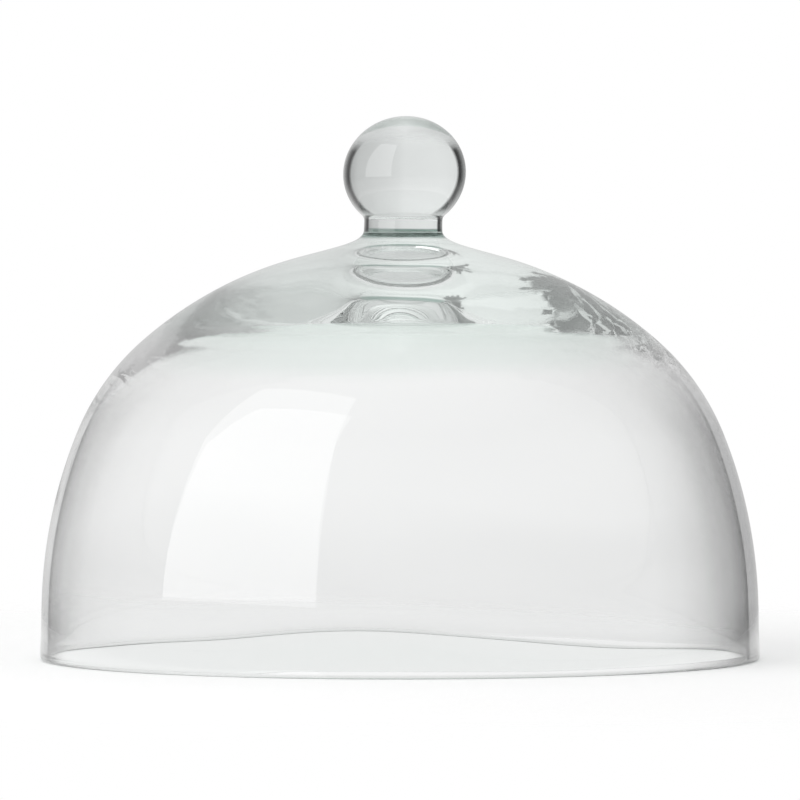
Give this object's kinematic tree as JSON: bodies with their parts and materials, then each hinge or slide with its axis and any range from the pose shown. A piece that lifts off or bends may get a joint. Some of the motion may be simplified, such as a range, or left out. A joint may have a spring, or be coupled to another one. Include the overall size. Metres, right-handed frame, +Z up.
{
  "type": "food cover dome",
  "caption": "Clear glass dome that stands on its rounded rim over served food, with a thick crown and a solid ball knob bonded to a short boss on top to lift it by.",
  "frame": {"origin": "centre of the plane that the rim stands on", "axes": "+Z up along the bell's axis; X and Y across the rim, with -Y towards the viewer of the picture"},
  "size_m": [0.2649, 0.265, 0.1998],
  "materials": {
    "bell_glass": "clear, fire-polished",
    "knob_glass": "clear, fire-polished",
    "adhesive": "clear, cured"
  },
  "bodies": {
    "root": {"bell": "bell_glass", "knob": "knob_glass", "bond": "adhesive"}
  },
  "joints": []
}
